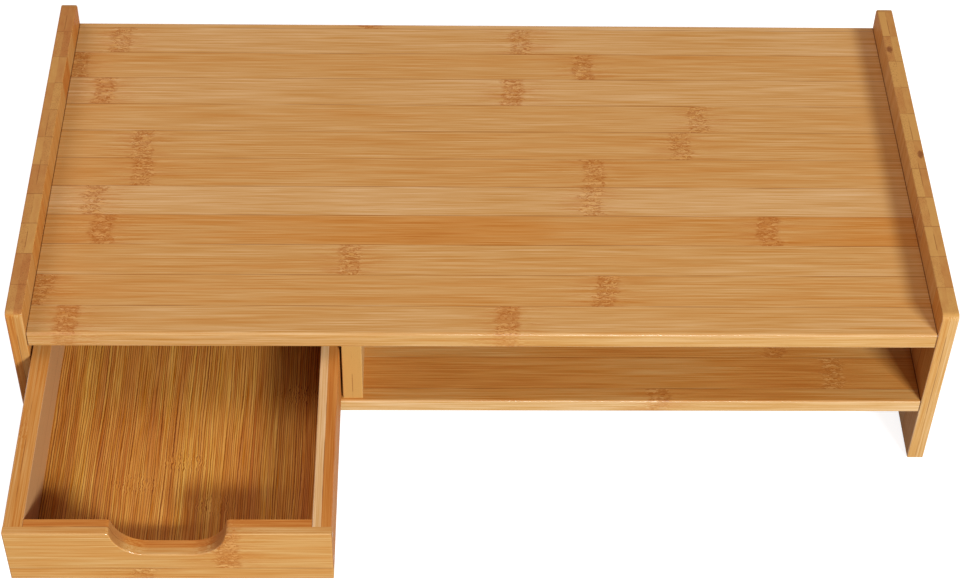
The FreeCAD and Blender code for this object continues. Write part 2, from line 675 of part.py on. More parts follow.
def group(doc, label, master, places):
    """Stands copies of a piece at their places and keeps them together under one name."""
    copies = []
    for across, along, up, turn in places:
        copy = doc.addObject("App::Link", f"{label}_copy")
        copy.LinkedObject = master
        copy.LinkTransform = False
        copy.Placement = FreeCAD.Placement(FreeCAD.Vector(), turn)
        bind(copy, "Placement.Base.x", across)
        bind(copy, "Placement.Base.y", along)
        bind(copy, "Placement.Base.z", up)
        copies.append(copy)
    whole = doc.addObject("Part::Compound", label)
    whole.Label = label
    whole.Links = copies
    return whole


def both_sides(outset, places, level):
    """Places on both side panels, pointing inwards, at a distance outside the panels' inner faces."""
    rows = []
    for along in places:
        rows.append((f"left_inside - ({outset})", f"front_plane + {along}", level, POINT_RIGHT))
        rows.append((f"0 - left_inside + ({outset})", f"front_plane + {along}", level, POINT_LEFT))
    return rows


def riser_fasteners(doc, long_screw, rail_screw, peg, pad_master):
    """The screws, dowels and pads of the riser."""
    nodes = []
    for name, middle in (("top_shelf", SHELF_MIDDLES[0]), ("lower_shelf", SHELF_MIDDLES[1])):
        level = f"pad_thickness + {middle}"
        screws = both_sides("side_thickness", SCREW_PLACES, level)
        nodes.append(group(doc, f"{name}_screws", long_screw, screws))
        dowels = both_sides("dowel_seat", DOWEL_PLACES, level)
        nodes.append(group(doc, f"{name}_dowels", peg, dowels))
    middle = "left_inside + bay_width + divider_thickness / 2"
    underside = "pad_thickness + lower_shelf_foot"
    rows = [(middle, f"front_plane + {y}", underside, POINT_UP) for y in DIVIDER_SCREW_PLACES]
    nodes.append(group(doc, "divider_screws", long_screw, rows))
    level = "pad_thickness + top_shelf_foot + dowel_seat"
    rows = [(middle, f"front_plane + {y}", level, POINT_DOWN) for y in DIVIDER_DOWEL_PLACES]
    nodes.append(group(doc, "divider_dowels", peg, rows))
    rail = "back_plane - stop_thickness / 2"
    rows = [(f"left_inside + {x}", rail, underside, POINT_UP) for x in RAIL_PLACES]
    nodes.append(group(doc, "stop_rail_screws", rail_screw, rows))
    sides = ("side_thickness / 2 - overall_width / 2", "overall_width / 2 - side_thickness / 2")
    ends = ("front_plane + pad_inset", "back_plane - pad_inset")
    rows = [(x, y, "pad_thickness", POINT_DOWN) for x in sides for y in ends]
    nodes.append(group(doc, "anti_slip_pads", pad_master, rows))
    return nodes


def drawer_fasteners(doc, floor_screw, pin):
    """The nails at the drawer's corners and the screws under its back."""
    left, right = "drawer_left", "drawer_left + drawer_width"
    nodes = []
    ends = (("drawer_front_nails", "front_thickness - inner_ply / 2"),
            ("drawer_back_nails", "drawer_length - back_thickness / 2"))
    for label, along in ends:
        rows = []
        for height in NAIL_HEIGHTS:
            rows.append((left, f"drawer_front_plane + {along}", f"drawer_foot + {height}", POINT_RIGHT))
            rows.append((right, f"drawer_front_plane + {along}", f"drawer_foot + {height}", POINT_LEFT))
        nodes.append(group(doc, label, pin, rows))
    along = "drawer_front_plane + drawer_length - back_thickness / 2"
    rows = [(f"drawer_left + drawer_wall + {x}", along, "drawer_foot + floor_lift", POINT_UP)
            for x in FLOOR_PLACES]
    nodes.append(group(doc, "drawer_floor_screws", floor_screw, rows))
    return nodes


def check_and_write(doc, nodes):
    """Makes sure that every object, sketch and shape is sound, then writes one file for each node."""
    doc.recompute()
    for thing in doc.Objects:
        if "Invalid" in thing.State or "Error" in thing.State:
            raise RuntimeError(f"{thing.Name} is {thing.State}")
        if thing.isDerivedFrom("Sketcher::SketchObject") and not thing.FullyConstrained:
            raise RuntimeError(f"{thing.Name} isn't fixed by its sizes alone")
    for node in nodes:
        if node.Shape.isNull() or not node.Shape.isValid():
            raise RuntimeError(f"{node.Label} has no sound shape")
    os.makedirs("parts", exist_ok=True)
    for node in nodes:
        node.Shape.exportStep(f"parts/{node.Label}.step")
        print(f"{node.Label}: {len(node.Shape.Solids)} solids, {node.Shape.Volume / 1000:.1f} cm3")


def main():
    doc = FreeCAD.newDocument("MonitorRiser")
    sheet = make_sheet(doc)
    nodes = [
        side_panel(doc, "left_side_panel", turned=False),
        side_panel(doc, "right_side_panel", turned=True),
        top_shelf(doc),
        lower_shelf(doc),
        divider(doc),
        stop_rail(doc),
        drawer_front(doc, sheet),
        drawer_side(doc, "drawer_left_side", on_left=True),
        drawer_side(doc, "drawer_right_side", on_left=False),
        drawer_back(doc),
        drawer_floor(doc),
    ]
    long_screw = screw(doc, "LongScrew", "screw_diameter", "screw_head", "screw_length")
    rail_screw = screw(doc, "RailScrew", "screw_diameter", "screw_head", "rail_screw_length")
    floor_screw = screw(doc, "FloorScrew", "floor_screw_diameter", "floor_screw_head", "floor_screw_length")
    nodes += riser_fasteners(doc, long_screw, rail_screw, dowel(doc), foot_pad(doc))
    nodes += drawer_fasteners(doc, floor_screw, nail(doc))
    check_and_write(doc, nodes)


main()
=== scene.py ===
import math

import bpy
from mathutils import Matrix, Vector

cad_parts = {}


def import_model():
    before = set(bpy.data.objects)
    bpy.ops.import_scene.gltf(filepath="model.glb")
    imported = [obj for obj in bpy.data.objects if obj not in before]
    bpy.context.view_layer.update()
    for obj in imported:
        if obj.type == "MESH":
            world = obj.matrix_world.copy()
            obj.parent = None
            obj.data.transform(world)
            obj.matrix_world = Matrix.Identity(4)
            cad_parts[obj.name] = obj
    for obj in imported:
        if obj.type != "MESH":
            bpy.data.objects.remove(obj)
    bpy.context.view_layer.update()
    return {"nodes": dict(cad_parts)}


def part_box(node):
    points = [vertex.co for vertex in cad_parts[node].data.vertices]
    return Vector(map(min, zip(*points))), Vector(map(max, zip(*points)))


# The looks of a bamboo desk riser with a drawer: its materials, the floor, the lights and the camera.
# Lengths inside the materials are in millimetres, and everything else is in metres.

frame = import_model()
nodes = frame["nodes"]

MM = 1000.0                             # millimetres in a metre
WARMTH = (0.50, 0.95, 1.90)             # how far red, green and blue follow the shade of a fibre
WHITE = (1.0, 1.0, 1.0, 1.0)


def linear(red, green, blue):
    """Turns a colour from 0 to 255, as a screen shows it, into the renderer's linear values."""
    def one(value):
        value /= 255
        return value / 12.92 if value <= 0.04045 else ((value + 0.055) / 1.055) ** 2.4
    return (one(red), one(green), one(blue), 1.0)


# Building blocks for the materials

class Tree:
    """Builds the nodes of a material or world. A value is a number or another node's output."""

    def __init__(self, owner, shader):
        owner.use_nodes = True
        self.owner = owner
        self.tree = owner.node_tree
        self.shader = self.tree.nodes[shader]

    def plug(self, socket, value):
        if isinstance(value, bpy.types.NodeSocket):
            self.tree.links.new(value, socket)
        elif value is not None:
            socket.default_value = value

    def shade(self, **inputs):
        """Sets the shader's inputs. A name's underscores stand for spaces, as in Base_Color."""
        for name, value in inputs.items():
            self.plug(self.shader.inputs[name.replace("_", " ")], value)

    def node(self, kind, **settings):
        made = self.tree.nodes.new(kind)
        for name, value in settings.items():
            setattr(made, name, value)
        return made

    def math(self, operation, first, second=None, clamp=False):
        made = self.node("ShaderNodeMath", operation=operation, use_clamp=clamp)
        for socket, value in zip(made.inputs, (first, second)):
            self.plug(socket, value)
        return made.outputs[0]

    def add(self, *values):
        total = values[0]
        for value in values[1:]:
            total = self.math("ADD", total, value)
        return total

    def times(self, *values):
        product = values[0]
        for value in values[1:]:
            product = self.math("MULTIPLY", product, value)
        return product

    def less(self, first, second):
        return self.math("SUBTRACT", first, second)

    def over(self, first, second):
        return self.math("DIVIDE", first, second)

    def size(self, value):
        """How large a value is, whatever its sign."""
        return self.math("ABSOLUTE", value)

    def step(self, value, low, high, to_low=0.0, to_high=1.0):
        """Goes smoothly from one value to another as the input passes from low to high."""
        made = self.node("ShaderNodeMapRange", interpolation_type="SMOOTHSTEP")
        for name, given in (("Value", value), ("From Min", low), ("From Max", high),
                            ("To Min", to_low), ("To Max", to_high)):
            self.plug(made.inputs[name], given)
        return made.outputs["Result"]

    def vector(self, along, across, deep):
        made = self.node("ShaderNodeCombineXYZ")
        for socket, value in zip(made.inputs, (along, across, deep)):
            self.plug(socket, value)
        return made.outputs[0]

    def split(self, vector):
        made = self.node("ShaderNodeSeparateXYZ")
        self.plug(made.inputs[0], vector)
        return list(made.outputs)

    def noise(self, vector, detail=2.0, roughness=0.5, distortion=0.0):
        made = self.node("ShaderNodeTexNoise")
        for name, value in (("Vector", vector), ("Scale", 1.0), ("Detail", detail),
                            ("Roughness", roughness), ("Distortion", distortion)):
            self.plug(made.inputs[name], value)
        return made.outputs["Fac"]

    def luck(self, vector):
        """Three random values that are the same all over one block."""
        made = self.node("ShaderNodeTexWhiteNoise", noise_dimensions="3D")
        self.plug(made.inputs["Vector"], vector)
        return self.split(made.outputs["Color"])

    def mix(self, factor, first, second, blend="MIX"):
        made = self.node("ShaderNodeMix", data_type="RGBA", blend_type=blend)
        colours = [socket for socket in made.inputs if socket.type == "RGBA"]
        self.plug(made.inputs[0], factor)
        self.plug(colours[0], first)
        self.plug(colours[1], second)
        return [socket for socket in made.outputs if socket.type == "RGBA"][0]

    def ramp(self, factor, stops):
        """A colour that changes along a list of places and colours."""
        made = self.node("ShaderNodeValToRGB")
        self.plug(made.inputs[0], factor)
        elements = made.color_ramp.elements
        while len(elements) < len(stops):
            elements.new(0.5)
        for element, (place, colour) in zip(elements, stops):
            element.position = place
            element.color = colour
        return made.outputs["Color"]

    def pick(self, number, values):
        """The value that a list holds at a whole number. A number past its end takes the last value."""
        lowest = min(values)
        span = max(values) - lowest or 1.0
        made = self.node("ShaderNodeValToRGB")
        made.color_ramp.interpolation = "CONSTANT"
        self.plug(made.inputs[0], self.over(self.add(number, 0.5), float(len(values))))
        elements = made.color_ramp.elements
        while len(elements) < len(values):
            elements.new(1.0)
        for place, (element, value) in enumerate(zip(elements, values)):
            share = (value - lowest) / span
            element.position = place / len(values)
            element.color = (share, share, share, 1.0)
        return self.add(self.times(self.split(made.outputs["Color"])[0], span), lowest)

    def warm(self, colour, amount):
        """Shades a colour so that its darker places turn orange, as in lacquered bamboo."""
        red, green, blue = (self.add(1.0, self.times(amount, part)) for part in WARMTH)
        return self.mix(1.0, colour, self.vector(red, green, blue), blend="MULTIPLY")

    def bump(self, height, distance, strength):
        made = self.node("ShaderNodeBump")
        for name, value in (("Height", height), ("Distance", distance), ("Strength", strength)):
            self.plug(made.inputs[name], value)
        return made.outputs["Normal"]

    def places(self, node, axes):
        """Millimetres from a board's lowest corner, in the order of the axes given."""
        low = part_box(node)[0]
        xyz = self.split(self.node("ShaderNodeTexCoord").outputs["Object"])
        return [self.times(self.less(xyz["xyz".index(axis)], low["xyz".index(axis)]), MM) for axis in axes]

    def facing(self, axis):
        """1 where the surface looks along an axis, either way, and 0 where it lies along it."""
        normal = self.split(self.node("ShaderNodeTexCoord").outputs["Normal"])
        return self.size(normal["xyz".index(axis)])

    def on_faces(self, axis):
        """1 on the flat faces that look along an axis, fading out over the rounded edges."""
        return self.step(self.facing(axis), 0.5, 0.85)

    def oval(self, places, middle, half):
        """0 in the middle of an oval, 1 on its rim and more outside it."""
        offsets = [self.less(place, centre) for place, centre in zip(places, middle)]
        return self.add(*(self.math("POWER", self.over(offset, radius), 2.0)
                          for offset, radius in zip(offsets, half)))


def new_material(name):
    return Tree(bpy.data.materials.new(name), "Principled BSDF")


# Lacquered bamboo: its colours, and its sizes in millimetres

CREAM = linear(216, 176, 128)
PALE = linear(207, 163, 108)
HONEY = linear(198, 148, 86)
ORANGE = linear(194, 131, 62)
RUSTY = linear(182, 110, 46)
SHADES = ((0.0, RUSTY), (0.25, ORANGE), (0.5, HONEY), (0.75, PALE), (1.0, CREAM))
KNUCKLE_DARK = linear(164, 94, 34)
KNUCKLE_PALE = linear(222, 172, 104)
GLUE_LINE = linear(128, 74, 34)
END_PALE = linear(194, 145, 80)
END_BROWN = linear(172, 111, 58)
END_BUNDLE = linear(128, 78, 38)
JOINT_LINE = linear(84, 40, 16)
KNOT = linear(120, 66, 34)
GREY_TAN = linear(188, 140, 94)

STRIP = 27.4                            # the width of a strip
INTERNODE = 250.0                       # the stem between two knuckles
FAR = 2000.0                            # past the end of any board, where a strip has no knuckle
FINE = (48.0, 0.75)                     # a fibre's length and width
MIDDLE = (85.0, 2.6)                    # the same for broader streaks
BROAD = (220.0, 9.0)                    # and for the broadest
THREAD = (26.0, 1.3)                    # and for the orange threads at a knuckle
RING = (5.0, 9.5)                       # from a knuckle's middle: where its ring fades, and where it ends
HALO = 36.0                             # from a knuckle's middle to where it stops disturbing the fibres
RING_WANDER = 14.0                      # the range in which a ring strays along its strip
SHIFT = 700.0                           # sets each strip's pattern apart from the others'
SEAM = (0.12, 0.55)                     # from a seam's middle: where its line fades, and where it ends
LAYER_LINE = (0.1, 0.45)                # the same for the line between two layers
JOINT_GAP = (0.25, 0.85)                # from a board's end: where its gap fades, and where it ends
KNOT_HALF = (4.2, 2.4)                  # half a knot, across the strips and through the layers
SHINE = 0.08                            # the lacquer's specular level, low because it is satin
ROUGHNESS = 0.60
COAT_ROUGHNESS = 0.14
BOARD_RELIEF = 0.00012                  # metres


class Board:
    """A board of glued strips, as its material sees it at a point.

    along, wide and through are the place: along the grain, across the strips and through the layers. number
    and layer say which strip and layer it is in, and luck is three random values of that strip. ends, edges
    and faces are 1 on the board's cut ends, its narrow long faces and its broad faces.
    """

    def __init__(self, tree, node, axes, seed, first, strip, ply):
        self.tree = tree
        self.seed = seed
        self.along, self.wide, self.through = tree.places(node, axes)
        self.layer = tree.math("GREATER_THAN", self.through, ply)
        count = tree.add(tree.over(tree.less(self.wide, first), strip), 1.0)
        self.number = tree.math("FLOOR", count)
        inside = tree.math("FRACT", count)
        self.to_seam = tree.times(tree.math("MINIMUM", inside, tree.less(1.0, inside)), strip)
        self.to_layer = tree.size(tree.less(self.through, ply))
        self.luck = tree.luck(tree.vector(tree.add(self.number, seed), self.layer, seed))
        self.ends, self.edges, self.faces = (tree.on_faces(axis) for axis in axes)
        low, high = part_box(node)
        self.length = (high["xyz".index(axes[0])] - low["xyz".index(axes[0])]) * MM


def knuckle_gap(board, knuckles):
    """Millimetres along the grain from the strip's nearest knuckle.

    knuckles gives each strip up to two places. Without it they come once in each internode, and start at a
    random place.
    """
    tree = board.tree
    if not knuckles:
        turn = tree.math("FRACT", tree.add(tree.over(board.along, INTERNODE), board.luck[0]))
        return tree.times(tree.less(turn, 0.5), INTERNODE)
    columns = [[row[column] if len(row) > column else FAR for row in knuckles] for column in range(2)]
    first, second = [tree.less(board.along, tree.pick(board.number, column)) for column in columns]
    closer = tree.math("LESS_THAN", tree.size(second), tree.size(first))
    return tree.add(tree.times(second, closer), tree.times(first, tree.less(1.0, closer)))


def knuckle_rings(board, knuckles):
    """A knuckle's rough ring across the strip, fainter on the narrow faces, and the wide halo round it."""
    tree = board.tree
    where = tree.vector(tree.times(board.luck[1], 50.0), tree.times(board.wide, 0.14), board.layer)
    wander = tree.less(tree.noise(where, detail=2.0), 0.5)
    off_centre = tree.size(tree.add(knuckle_gap(board, knuckles), tree.times(wander, RING_WANDER)))
    ring = tree.times(tree.step(off_centre, *RING, 1.0, 0.0), tree.less(1.0, tree.times(board.edges, 0.6)))
    halo = tree.step(off_centre, RING[0], HALO, 1.0, 0.0)
    return ring, halo


def fibre_places(board, ring, halo):
    """The board's three places as the fibres run, which waver where they pass a knuckle."""
    tree = board.tree
    one, two, three = board.luck
    where = tree.vector(tree.times(board.along, 0.28), tree.times(board.wide, 0.45), two)
    shake = tree.less(tree.noise(where, detail=2.0), 0.5)
    sway = tree.add(tree.times(ring, 3.0), tree.times(halo, 1.2), 0.2)
    return (tree.add(board.along, tree.times(three, SHIFT)),
            tree.add(board.wide, tree.times(shake, sway), tree.times(one, SHIFT)),
            tree.add(board.through, tree.times(two, SHIFT)))


def fibres(tree, places, sizes, detail=2.0):
    """Streaks of a length and width, from about -0.5 to 0.5."""
    length, width = sizes
    where = tree.vector(*(tree.over(place, size) for place, size in zip(places, (length, width, width))))
    return tree.less(tree.noise(where, detail=detail, roughness=0.55), 0.5)


def strip_tone(board, tones, edge_tone, face_tone):
    """How pale or orange a strip is, which drifts along it and differs on narrow and broad faces."""
    tree = board.tree
    where = tree.vector(tree.times(board.along, 0.006), tree.times(board.number, 5.1), board.seed)
    drift = tree.step(tree.noise(where, detail=1.0), 0.36, 0.60, 0.5, 1.2)
    tone = tree.pick(board.number, tones) if tones else tree.times(tree.less(board.luck[2], 0.5), 1.6)
    return tree.add(tree.times(tone, drift), tree.times(board.edges, edge_tone),
                    tree.times(board.faces, face_tone))


def knuckle_marks(board, places, ring, halo, colour):
    """Adds dark squiggles round paler cells, and orange threads that run out of them."""
    tree = board.tree
    where = tree.vector(*(tree.times(place, rate) for place, rate in zip(places, (0.14, 0.68, 0.68))))
    marks = tree.noise(where, detail=3.0, roughness=0.5, distortion=0.9)
    squiggles = tree.step(tree.size(tree.less(marks, 0.49)), 0.015, 0.075, 1.0, 0.0)
    threads = tree.step(fibres(tree, places, THREAD, detail=1.0), -0.02, 0.10)
    colour = tree.mix(tree.times(halo, threads, 0.40), colour, RUSTY)
    colour = tree.mix(tree.times(ring, tree.step(board.luck[1], 0.3, 1.0, 0.0, 0.5)), colour, RUSTY)
    colour = tree.mix(tree.times(ring, tree.step(marks, 0.50, 0.60), 0.34), colour, KNUCKLE_PALE)
    colour = tree.mix(tree.times(ring, squiggles, 0.66), colour, KNUCKLE_DARK)
    return colour, tree.times(squiggles, ring)


def glue_lines(board):
    """Fine lines where strips and layers are glued, stronger in some places than in others."""
    tree = board.tree
    where = tree.vector(tree.times(board.along, 0.02), tree.times(board.number, 3.1), board.layer)
    patches = tree.step(tree.noise(where, detail=2.0), 0.32, 0.64, 0.06, 0.62)
    where = tree.vector(tree.times(board.along, 0.03), tree.times(board.wide, 0.08), 0.5)
    dashes = tree.step(tree.noise(where), 0.44, 0.60)
    between_strips = tree.times(tree.step(board.to_seam, *SEAM, 1.0, 0.0), patches)
    between_layers = tree.times(tree.step(board.to_layer, *LAYER_LINE, 0.6, 0.0), dashes)
    return tree.math("MAXIMUM", between_strips, between_layers)


def cut_ends(board, tone, knots, fine):
    """The colour of end grain: each strip a block of its own shade, with small dark bundles and knots."""
    tree = board.tree
    one, two, three = board.luck
    bundles = tree.node("ShaderNodeTexVoronoi", feature="F1")
    tree.plug(bundles.inputs["Scale"], 1.0)
    where = tree.vector(tree.times(board.wide, 0.95), tree.times(board.through, 0.95), one)
    tree.plug(bundles.inputs["Vector"], where)
    dots = tree.step(bundles.outputs["Distance"], 0.12, 0.50, 1.0, 0.0)
    mottle = tree.noise(tree.vector(tree.times(board.wide, 0.12), tree.times(board.through, 0.3), two))
    shade = tree.add(tone, tree.times(one, 0.8), tree.times(tree.less(mottle, 0.5), 0.9), 0.1)
    strength = tree.add(tree.times(tree.step(three, 0.45, 0.95), 0.34), 0.07)
    colour = tree.mix(tree.times(dots, strength), tree.mix(shade, END_BROWN, END_PALE), END_BUNDLE)
    for knot in knots:
        reach = tree.add(tree.oval((board.wide, board.through), knot, KNOT_HALF), tree.times(fine, 2.0))
        colour = tree.mix(tree.step(reach, 0.25, 1.1, 0.8, 0.0), colour, KNOT)
    return colour


def lacquer(tree, colour, fine, relief, depth):
    """A satin finish, a little rougher along some fibres."""
    tree.shade(Base_Color=colour,
               Roughness=tree.add(tree.times(fine, 0.3), ROUGHNESS),
               Specular_IOR_Level=SHINE,
               Normal=tree.bump(relief, depth, 0.5))


def bamboo(name, node, axes, seed, first=24.5, strip=STRIP, ply=20.0, knuckles=None, tones=None,
           plies=(0.0, 0.0), end_tone=0.0, edge_tone=0.0, face_tone=0.0, knots=(), grey_tan=0.0,
           joint_ends=False):
    """Glued strips of bamboo under a satin lacquer.

    axes are the board's own: along the grain, across the strips, and through the layers. strip is the
    width of a strip, first the width of the first one, and ply the thickness of the first layer. Each strip
    has a shade, fibres and knuckles of its own. tones makes strips paler (above 0) or more orange (below 0).
    plies does it for the two layers, edge_tone and face_tone for the narrow and the broad long faces, and
    end_tone for the cut ends. Knots are dark spots on the cut ends. grey_tan is how far the broad faces turn
    a smooth greyish tan without grain. joint_ends darkens the fine gap where the board meets another.
    """
    tree = new_material(name)
    board = Board(tree, node, axes, seed, first, strip, ply)
    ring, halo = knuckle_rings(board, knuckles)
    places = fibre_places(board, ring, halo)
    fine = fibres(tree, places, FINE)
    middle = fibres(tree, places, MIDDLE)
    broad = fibres(tree, places, BROAD, detail=1.0)
    grain = tree.add(tree.times(fine, 0.36), tree.times(middle, 0.40), tree.times(broad, 0.25))
    shade = tree.add(grain, tree.times(strip_tone(board, tones, edge_tone, face_tone), 0.19),
                     tree.times(tree.pick(board.layer, plies), 0.25), 0.5)
    colour, squiggles = knuckle_marks(board, places, ring, halo, tree.ramp(shade, SHADES))
    colour = tree.warm(colour, fine)
    if grey_tan:
        colour = tree.mix(tree.times(board.faces, grey_tan), colour, GREY_TAN)
    colour = tree.mix(board.ends, colour, cut_ends(board, end_tone, knots, fine))
    line = glue_lines(board)
    colour = tree.mix(line, colour, GLUE_LINE)
    if joint_ends:
        to_end = tree.math("MINIMUM", board.along, tree.less(board.length, board.along))
        colour = tree.mix(tree.step(to_end, *JOINT_GAP, 0.85, 0.0), colour, JOINT_LINE)

    relief = tree.add(fine, tree.times(squiggles, -0.5), tree.times(line, -0.5))
    lacquer(tree, colour, fine, relief, BOARD_RELIEF)
    rounded = tree.step(tree.times(tree.facing(axes[1]), tree.facing(axes[2])), 0.15, 0.40)
    tree.shade(Coat_Weight=rounded, Coat_Roughness=COAT_ROUGHNESS)
    return tree.owner


# The drawer's floor. Its knuckle marks are given in millimetres from its left and front edges.

FLOOR_KNUCKLES = ((62.0, 59.0), (92.0, 77.0), (112.0, 43.0), (161.0, 132.0))
FLOOR_KNUCKLE_HALF = (16.0, 9.0)        # half a mark, across and along the slats
SLAT = 1.4                              # the width of a slat
SLAT_FINE = (24.0, 0.6)                 # a fibre's length and width
SLAT_COARSE = (90.0, 1.7)               # the same for coarser streaks
SLAT_BAND = (160.0, 16.0)               # and for the broad golden and reddish bands
SLAT_RED = linear(168, 93, 38)
SLAT_GOLD = linear(194, 128, 54)
SLAT_PALE = linear(214, 160, 72)
SLAT_LINE = linear(116, 56, 22)
SLAT_RELIEF = 0.0002                    # metres


def floor_knuckles(tree, along, wide):
    """1 inside the floor's knuckle marks, fading out round them."""
    rough = 0.0
    for mark in FLOOR_KNUCKLES:
        reach = tree.oval((wide, along), mark, FLOOR_KNUCKLE_HALF)
        rough = tree.add(rough, tree.step(reach, 0.3, 1.3, 1.0, 0.0))
    return rough


def slat_places(tree, along, wide, seed):
    """The place across the slats, which run a little unevenly and waver in the knuckle marks."""
    drift = tree.noise(tree.vector(tree.times(along, 0.012), tree.times(wide, 0.04), seed), detail=1.0)
    bend = tree.noise(tree.vector(tree.times(along, 0.24), tree.times(wide, 0.45), seed), detail=2.0)
    uneven = tree.noise(tree.vector(tree.over(along, 160.0), tree.over(wide, 4.0), seed), detail=1.0)
    sway = tree.add(tree.times(floor_knuckles(tree, along, wide), 2.2), 0.35)
    return tree.add(wide, tree.times(tree.less(drift, 0.5), 2.0), tree.times(tree.less(uneven, 0.5), 3.0),
                    tree.times(tree.less(bend, 0.5), sway))


def fine_bamboo(name, node, axes, seed):
    """The drawer's floor: a sheet of thin golden slats, with a dark line between every two."""
    tree = new_material(name)
    along, wide, _ = tree.places(node, axes)
    side = slat_places(tree, along, wide, seed)
    count = tree.over(side, SLAT)
    number = tree.math("FLOOR", count)
    from_gap = tree.math("PINGPONG", count, 0.5)
    one, two, _ = tree.luck(tree.vector(number, seed, 0.5))

    def threads(sizes, shift, detail=2.0):
        length, width = sizes
        where = tree.vector(tree.over(along, length), tree.over(side, width), seed + shift)
        return tree.less(tree.noise(where, detail=detail, roughness=0.55), 0.5)

    # Each slat has a shade that changes slowly along it, within broad golden and reddish bands
    own = tree.noise(tree.vector(tree.over(along, 60.0), tree.times(number, 7.3), seed), detail=1.0)
    band = threads(SLAT_BAND, 7.0)
    shade = tree.add(tree.times(one, 0.18), tree.times(own, 0.44), tree.times(band, 0.75), 0.21)
    colour = tree.ramp(shade, ((0.2, SLAT_RED), (0.5, SLAT_GOLD), (0.8, SLAT_PALE)))

    # Each line between slats is darker in some places than in others
    depth = tree.noise(tree.vector(tree.over(along, 70.0), tree.times(number, 3.7), seed + 9.0), detail=1.0)
    depth = tree.add(tree.step(depth, 0.35, 0.62, 0.25, 0.65), tree.times(two, 0.5))
    lines = tree.times(tree.step(from_gap, 0.06, 0.22, 1.0, 0.0), depth)
    colour = tree.mix(tree.math("MINIMUM", lines, 0.95), colour, SLAT_LINE)

    fine = threads(SLAT_FINE, 5.0)
    coarse = threads(SLAT_COARSE, 13.0, detail=1.0)
    colour = tree.warm(colour, tree.add(tree.times(fine, 1.6), coarse))
    lacquer(tree, colour, fine, tree.less(1.0, lines), SLAT_RELIEF)
    return tree.owner


# Other materials, each a dark and a light shade in a fine cloud

DOWEL_SHADES = ((0.35, linear(200, 166, 118)), (0.7, linear(226, 198, 152)))
STEEL_SHADES = ((0.3, linear(170, 168, 160)), (0.7, linear(205, 203, 196)))
RUBBER_SHADES = ((0.3, linear(40, 38, 36)), (0.7, linear(58, 55, 52)))


def cloud(tree, node, rate):
    """Noise through a whole piece. Its grains are finer at a higher rate."""
    return tree.noise(tree.vector(*(tree.times(place, rate) for place in tree.places(node, "xyz"))))


def plain_wood(name, node):
    """Turned dowels of pale wood, with fine pores."""
    tree = new_material(name)
    tree.shade(Base_Color=tree.ramp(cloud(tree, node, 0.9), DOWEL_SHADES), Roughness=0.6)
    return tree.owner


def steel(name, node):
    """Zinc-plated screws and nails, slightly cloudy."""
    tree = new_material(name)
    stains = cloud(tree, node, 0.8)
    tree.shade(Base_Color=tree.ramp(stains, STEEL_SHADES),
               Roughness=tree.add(tree.times(stains, 0.2), 0.22), Metallic=1.0)
    return tree.owner


def rubber(name, node):
    """Soft dark pads with a fine grain."""
    tree = new_material(name)
    grain = cloud(tree, node, 3.0)
    tree.shade(Base_Color=tree.ramp(grain, RUBBER_SHADES), Roughness=0.85,
               Normal=tree.bump(grain, 0.0001, 0.4))
    return tree.owner


def dress(node, material):
    """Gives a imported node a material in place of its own."""
    slots = nodes[node].material_slots
    for slot in slots:
        slot.material = material
    if not slots:
        nodes[node].data.materials.append(material)


# Each board's looks. Knuckles are given strip by strip, first strip first, in millimetres along the grain
# from the board's lowest end, and a strip has none where its place is FAR. The tones are as in bamboo.
TOP_KNUCKLES = ((24, 304), (4, 368), (202,), (38, 479), (30, 363), (60, 366), (57, 427), (441,),
                (26, 313), (4, 363), (32, 319), (210,))
TOP_TONES = (0.1, -0.2, 0.0, -1.0, 0.8, -0.4, -0.2, 0.0, 0.5, -0.1, 0.6, 1.0)
LOWER_KNUCKLES = ((406,), (522,), (486,), (120,), (300,), (40, 470), (220,), (350,), (90, 540), (260,),
                  (410,))
# The lower shelf's strips are darker and more orange than the top shelf's: painted shade and reddish bounce
# for its top face, which lies under the top shelf.
LOWER_SHADED_TONES = (-1.2, -1.4, -1.2, -1.6, -1.3, -1.0, -1.5, -1.1, -1.4, -1.2, -1.5)
PANEL_KNUCKLES = ((FAR,), (95,), (22,), (120,), (58,), (104,), (FAR,), (36,), (88,), (12,), (70,), (128,))

